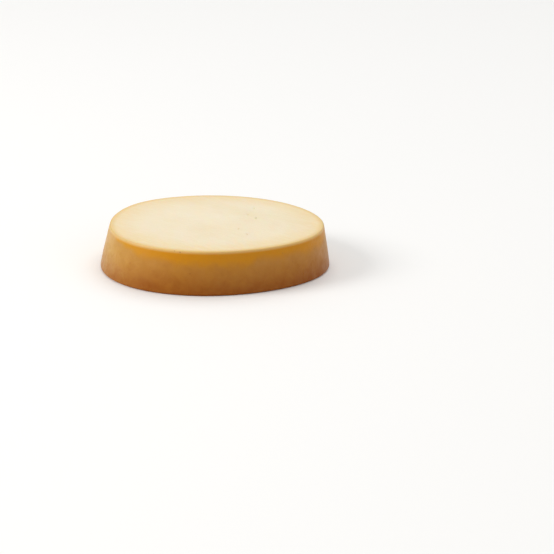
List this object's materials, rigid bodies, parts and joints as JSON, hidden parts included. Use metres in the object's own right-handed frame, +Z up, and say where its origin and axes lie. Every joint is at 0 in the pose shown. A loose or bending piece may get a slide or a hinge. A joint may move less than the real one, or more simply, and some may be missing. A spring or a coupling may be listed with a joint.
{
  "type": "smoked provolone",
  "caption": "Low round of smoked provolone cut across, with a flat pale cut face, an amber rind wall that widens downwards, and a flat underside.",
  "frame": {"origin": "under the middle of the cheese's bounding box, on the face it rests on", "axes": "+Z up, square to the cut face; the long way of the oval lies about 50 degrees from +X, towards +Y"},
  "size_m": [0.161, 0.1662, 0.0302],
  "materials": {
    "cheese": "smooth satin cheese, pale cream on the cut face, amber to tan smoked rind on the wall"
  },
  "bodies": {
    "root": {"smoked_provolone": "cheese"}
  },
  "joints": []
}
